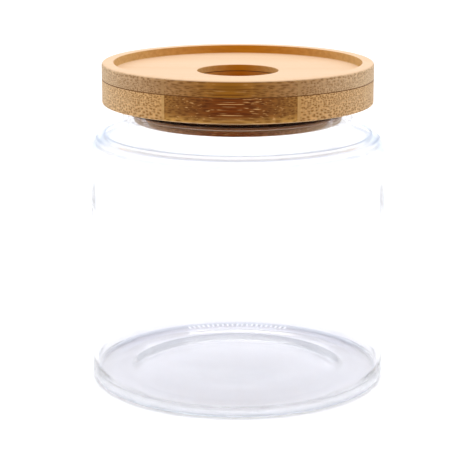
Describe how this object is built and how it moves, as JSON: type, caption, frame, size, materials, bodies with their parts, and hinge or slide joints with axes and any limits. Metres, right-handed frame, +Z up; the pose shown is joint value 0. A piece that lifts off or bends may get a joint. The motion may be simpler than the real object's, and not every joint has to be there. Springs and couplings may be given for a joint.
{
  "type": "storage canister",
  "caption": "Round glass storage jar with a push-in bamboo lid: glued, turned boards with a shallow top recess and a blind finger hole, sealed in the neck by a finned silicone ring.",
  "frame": {"origin": "centre of the jar's base, on the surface that it stands on", "axes": "+Z up along the jar's axis, +X along the fibres of the lid's bamboo strips, -Y towards the front"},
  "size_m": [0.1, 0.1, 0.109],
  "materials": {
    "clear_glass": "clear, thin blown glass, polished",
    "bamboo_top": "turned and sanded bamboo, satin",
    "bamboo_middle": "turned and sanded bamboo, satin, darker strips",
    "bamboo_plug": "turned bamboo, unpolished",
    "silicone": "translucent moulded silicone"
  },
  "bodies": {
    "jar": {"glass_jar": "clear_glass"},
    "seal": {"sealing_ring": "silicone"},
    "lid": {"top_board_strip_1": "bamboo_top", "top_board_strip_2": "bamboo_top", "top_board_strip_3": "bamboo_top", "top_board_strip_4": "bamboo_top", "top_board_strip_5": "bamboo_top", "middle_board_strip_1": "bamboo_middle", "middle_board_strip_2": "bamboo_middle", "middle_board_strip_3": "bamboo_middle", "middle_board_strip_4": "bamboo_middle", "middle_board_strip_5": "bamboo_middle", "plug_board_strip_1": "bamboo_plug", "plug_board_strip_2": "bamboo_plug", "plug_board_strip_3": "bamboo_plug", "plug_board_strip_4": "bamboo_plug"}
  },
  "joints": [
    {"name": "lid_lift", "type": "slide", "parent": "jar", "child": "seal", "axis": [0, 0, 1], "range_m": [0, 0.08]},
    {"name": "lid_turn", "type": "hinge", "parent": "seal", "child": "lid", "pos_m": [0, 0, 0.0925], "axis": [0, 0, 1], "continuous": true}
  ]
}
